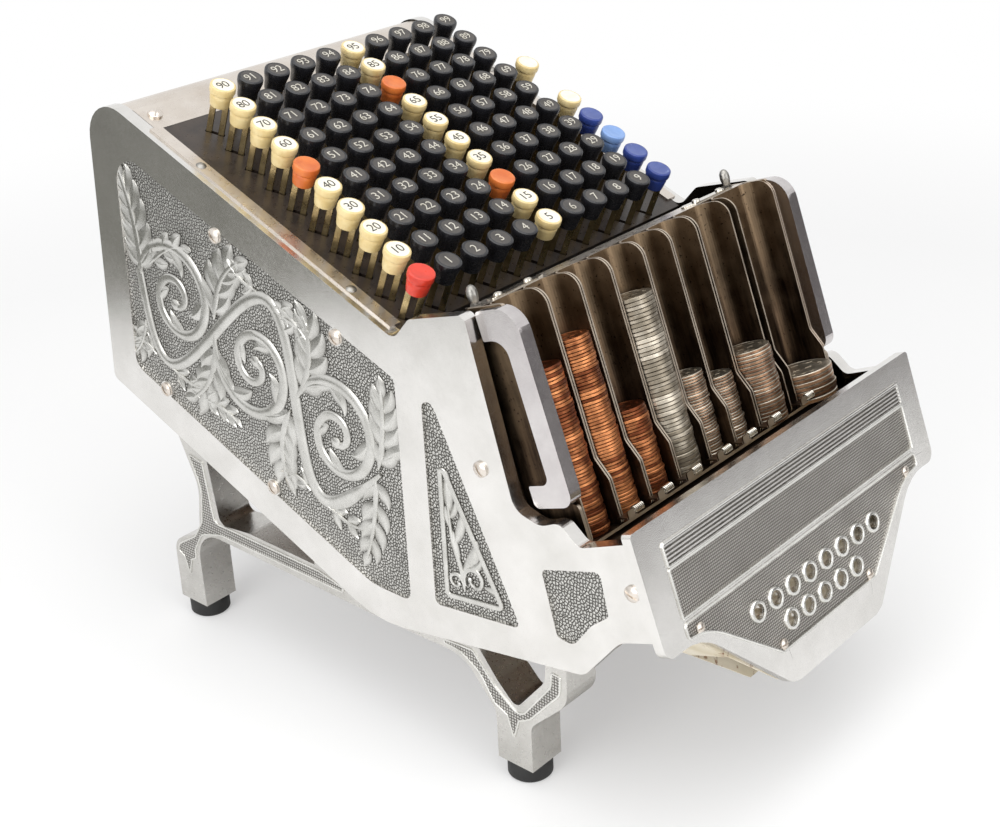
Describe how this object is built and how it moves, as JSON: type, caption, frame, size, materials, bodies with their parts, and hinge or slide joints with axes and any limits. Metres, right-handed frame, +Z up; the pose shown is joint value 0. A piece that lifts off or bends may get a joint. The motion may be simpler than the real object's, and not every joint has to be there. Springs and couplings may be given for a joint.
{
  "type": "coin changer",
  "caption": "Counter-top coin changer: sloping field of amount keys, lift-out tray of coin channels, hopper behind a cast front plate, on cast side stands.",
  "frame": {"origin": "middle of the box in x and y, at the underside of the rubber feet", "axes": "+X to the operator's right, -Y towards the front plate, +Z up"},
  "size_m": [0.2274, 0.3849, 0.3047],
  "materials": {
    "cast": "satin casting, polished edges",
    "foot_rubber": "matt black",
    "cover_nickel": "worn nickel plate",
    "plate_black": "dark worn japanning",
    "tray_nickel": "tarnished nickel sheet",
    "works_steel": "plain steel",
    "hopper_cream": "cream paint",
    "coin_copper": "worn copper",
    "coin_silver": "worn coin metal",
    "key_cap": "moulded caps on metal stems"
  },
  "bodies": {
    "frame": {"side_plate_left": "cast", "side_plate_right": "cast", "stand_left": "cast", "stand_right": "cast", "rubber_feet": "foot_rubber", "rear_cover": "cover_nickel", "rear_strip": "cover_nickel", "key_plate": "plate_black", "guide_plate": "plate_black", "rail_left": "cover_nickel", "rail_right": "cover_nickel", "tie_rods": "works_steel", "base_pan": "works_steel", "front_plate": "cast", "hopper": "hopper_cream", "screws": "cover_nickel", "rail_rivets": "cover_nickel", "slide_bed": "works_steel", "lever_shaft": "works_steel"},
    "tray": {"end_plate_left": "tray_nickel", "end_plate_right": "tray_nickel", "tray_back": "tray_nickel", "top_bar": "cover_nickel", "tray_floor": "tray_nickel", "coin_channels": "tray_nickel", "grip_left": "cast", "grip_right": "cast", "penny_stacks": "coin_copper", "nickel_stack": "coin_silver", "dime_stacks": "coin_silver", "quarter_stack": "coin_silver", "half_stack": "coin_silver"},
    "latch_left": {"latch_left": "cover_nickel"},
    "latch_right": {"latch_right": "cover_nickel"},
    "key_row_1": {"key_row_1": "key_cap"},
    "key_row_2": {"key_row_2": "key_cap"},
    "key_row_3": {"key_row_3": "key_cap"},
    "key_row_4": {"key_row_4": "key_cap"},
    "key_row_5": {"key_row_5": "key_cap"},
    "key_row_6": {"key_row_6": "key_cap"},
    "key_row_7": {"key_row_7": "key_cap"},
    "key_row_8": {"key_row_8": "key_cap"},
    "key_row_9": {"key_row_9": "key_cap"},
    "key_row_10": {"key_row_10": "key_cap"},
    "ejector_1": {"ejector_1": "works_steel"},
    "ejector_2": {"ejector_2": "works_steel"},
    "ejector_3": {"ejector_3": "works_steel"},
    "ejector_4": {"ejector_4": "works_steel"},
    "ejector_5": {"ejector_5": "works_steel"},
    "ejector_6": {"ejector_6": "works_steel"},
    "ejector_7": {"ejector_7": "works_steel"},
    "ejector_8": {"ejector_8": "works_steel"},
    "lever_1": {"lever_1": "works_steel"},
    "lever_2": {"lever_2": "works_steel"},
    "lever_3": {"lever_3": "works_steel"},
    "lever_4": {"lever_4": "works_steel"},
    "lever_5": {"lever_5": "works_steel"},
    "lever_6": {"lever_6": "works_steel"},
    "lever_7": {"lever_7": "works_steel"},
    "lever_8": {"lever_8": "works_steel"}
  },
  "joints": [
    {"name": "tray_lift", "type": "slide", "parent": "frame", "child": "tray", "axis": [0, 0.3338, 0.9426], "range_m": [0, 0.09]},
    {"name": "latch_left_tilt", "type": "hinge", "parent": "tray", "child": "latch_left", "pos_m": [-0.0953, -0.06227, 0.23297], "axis": [1, 0, 0], "range_deg": [0, 25], "stiffness_Nm_per_rad": 0.02},
    {"name": "latch_right_tilt", "type": "hinge", "parent": "tray", "child": "latch_right", "pos_m": [0.0953, -0.06227, 0.23297], "axis": [1, 0, 0], "range_deg": [0, 25], "stiffness_Nm_per_rad": 0.02},
    {"name": "key_row_1_press", "type": "slide", "parent": "frame", "child": "key_row_1", "axis": [0, 0.3843, -0.9232], "range_m": [0, 0.007], "stiffness_N_per_m": 700, "springref_m": -0.003},
    {"name": "key_row_2_press", "type": "slide", "parent": "frame", "child": "key_row_2", "axis": [0, 0.3843, -0.9232], "range_m": [0, 0.007], "stiffness_N_per_m": 700, "springref_m": -0.003},
    {"name": "key_row_3_press", "type": "slide", "parent": "frame", "child": "key_row_3", "axis": [0, 0.3843, -0.9232], "range_m": [0, 0.007], "stiffness_N_per_m": 700, "springref_m": -0.003},
    {"name": "key_row_4_press", "type": "slide", "parent": "frame", "child": "key_row_4", "axis": [0, 0.3843, -0.9232], "range_m": [0, 0.007], "stiffness_N_per_m": 700, "springref_m": -0.003},
    {"name": "key_row_5_press", "type": "slide", "parent": "frame", "child": "key_row_5", "axis": [0, 0.3843, -0.9232], "range_m": [0, 0.007], "stiffness_N_per_m": 700, "springref_m": -0.003},
    {"name": "key_row_6_press", "type": "slide", "parent": "frame", "child": "key_row_6", "axis": [0, 0.3843, -0.9232], "range_m": [0, 0.007], "stiffness_N_per_m": 700, "springref_m": -0.003},
    {"name": "key_row_7_press", "type": "slide", "parent": "frame", "child": "key_row_7", "axis": [0, 0.3843, -0.9232], "range_m": [0, 0.007], "stiffness_N_per_m": 700, "springref_m": -0.003},
    {"name": "key_row_8_press", "type": "slide", "parent": "frame", "child": "key_row_8", "axis": [0, 0.3843, -0.9232], "range_m": [0, 0.007], "stiffness_N_per_m": 700, "springref_m": -0.003},
    {"name": "key_row_9_press", "type": "slide", "parent": "frame", "child": "key_row_9", "axis": [0, 0.3843, -0.9232], "range_m": [0, 0.007], "stiffness_N_per_m": 700, "springref_m": -0.003},
    {"name": "key_row_10_press", "type": "slide", "parent": "frame", "child": "key_row_10", "axis": [0, 0.3843, -0.9232], "range_m": [0, 0.007], "stiffness_N_per_m": 700, "springref_m": -0.003},
    {"name": "ejector_1_stroke", "type": "slide", "parent": "frame", "child": "ejector_1", "axis": [0, -0.9426, 0.3338], "range_m": [0, 0.018], "stiffness_N_per_m": 40, "springref_m": -0.01},
    {"name": "ejector_2_stroke", "type": "slide", "parent": "frame", "child": "ejector_2", "axis": [0, -0.9426, 0.3338], "range_m": [0, 0.018], "stiffness_N_per_m": 40, "springref_m": -0.01},
    {"name": "ejector_3_stroke", "type": "slide", "parent": "frame", "child": "ejector_3", "axis": [0, -0.9426, 0.3338], "range_m": [0, 0.018], "stiffness_N_per_m": 40, "springref_m": -0.01},
    {"name": "ejector_4_stroke", "type": "slide", "parent": "frame", "child": "ejector_4", "axis": [0, -0.9426, 0.3338], "range_m": [0, 0.018], "stiffness_N_per_m": 40, "springref_m": -0.01},
    {"name": "ejector_5_stroke", "type": "slide", "parent": "frame", "child": "ejector_5", "axis": [0, -0.9426, 0.3338], "range_m": [0, 0.018], "stiffness_N_per_m": 40, "springref_m": -0.01},
    {"name": "ejector_6_stroke", "type": "slide", "parent": "frame", "child": "ejector_6", "axis": [0, -0.9426, 0.3338], "range_m": [0, 0.018], "stiffness_N_per_m": 40, "springref_m": -0.01},
    {"name": "ejector_7_stroke", "type": "slide", "parent": "frame", "child": "ejector_7", "axis": [0, -0.9426, 0.3338], "range_m": [0, 0.018], "stiffness_N_per_m": 40, "springref_m": -0.01},
    {"name": "ejector_8_stroke", "type": "slide", "parent": "frame", "child": "ejector_8", "axis": [0, -0.9426, 0.3338], "range_m": [0, 0.018], "stiffness_N_per_m": 40, "springref_m": -0.01},
    {"name": "lever_1_swing", "type": "hinge", "parent": "frame", "child": "lever_1", "pos_m": [-0.08778, -0.03913, 0.17968], "axis": [-1, 0, 0], "range_deg": [0, 17.11]},
    {"name": "lever_2_swing", "type": "hinge", "parent": "frame", "child": "lever_2", "pos_m": [-0.06578, -0.03913, 0.17968], "axis": [-1, 0, 0], "range_deg": [0, 17.11]},
    {"name": "lever_3_swing", "type": "hinge", "parent": "frame", "child": "lever_3", "pos_m": [-0.04378, -0.03913, 0.17968], "axis": [-1, 0, 0], "range_deg": [0, 17.11]},
    {"name": "lever_4_swing", "type": "hinge", "parent": "frame", "child": "lever_4", "pos_m": [-0.0207, -0.03913, 0.17968], "axis": [-1, 0, 0], "range_deg": [0, 17.11]},
    {"name": "lever_5_swing", "type": "hinge", "parent": "frame", "child": "lever_5", "pos_m": [0.00181, -0.03913, 0.17968], "axis": [-1, 0, 0], "range_deg": [0, 17.11]},
    {"name": "lever_6_swing", "type": "hinge", "parent": "frame", "child": "lever_6", "pos_m": [0.02268, -0.03913, 0.17968], "axis": [-1, 0, 0], "range_deg": [0, 17.11]},
    {"name": "lever_7_swing", "type": "hinge", "parent": "frame", "child": "lever_7", "pos_m": [0.04716, -0.03913, 0.17968], "axis": [-1, 0, 0], "range_deg": [0, 17.11]},
    {"name": "lever_8_swing", "type": "hinge", "parent": "frame", "child": "lever_8", "pos_m": [0.08199, -0.03913, 0.17968], "axis": [-1, 0, 0], "range_deg": [0, 17.11]}
  ],
  "couplings": [
    {"joint": "lever_1_swing", "follows": "ejector_1_stroke", "rad_per_m": 16.543},
    {"joint": "lever_2_swing", "follows": "ejector_2_stroke", "rad_per_m": 16.543},
    {"joint": "lever_3_swing", "follows": "ejector_3_stroke", "rad_per_m": 16.543},
    {"joint": "lever_4_swing", "follows": "ejector_4_stroke", "rad_per_m": 16.543},
    {"joint": "lever_5_swing", "follows": "ejector_5_stroke", "rad_per_m": 16.543},
    {"joint": "lever_6_swing", "follows": "ejector_6_stroke", "rad_per_m": 16.543},
    {"joint": "lever_7_swing", "follows": "ejector_7_stroke", "rad_per_m": 16.543},
    {"joint": "lever_8_swing", "follows": "ejector_8_stroke", "rad_per_m": 16.543}
  ]
}
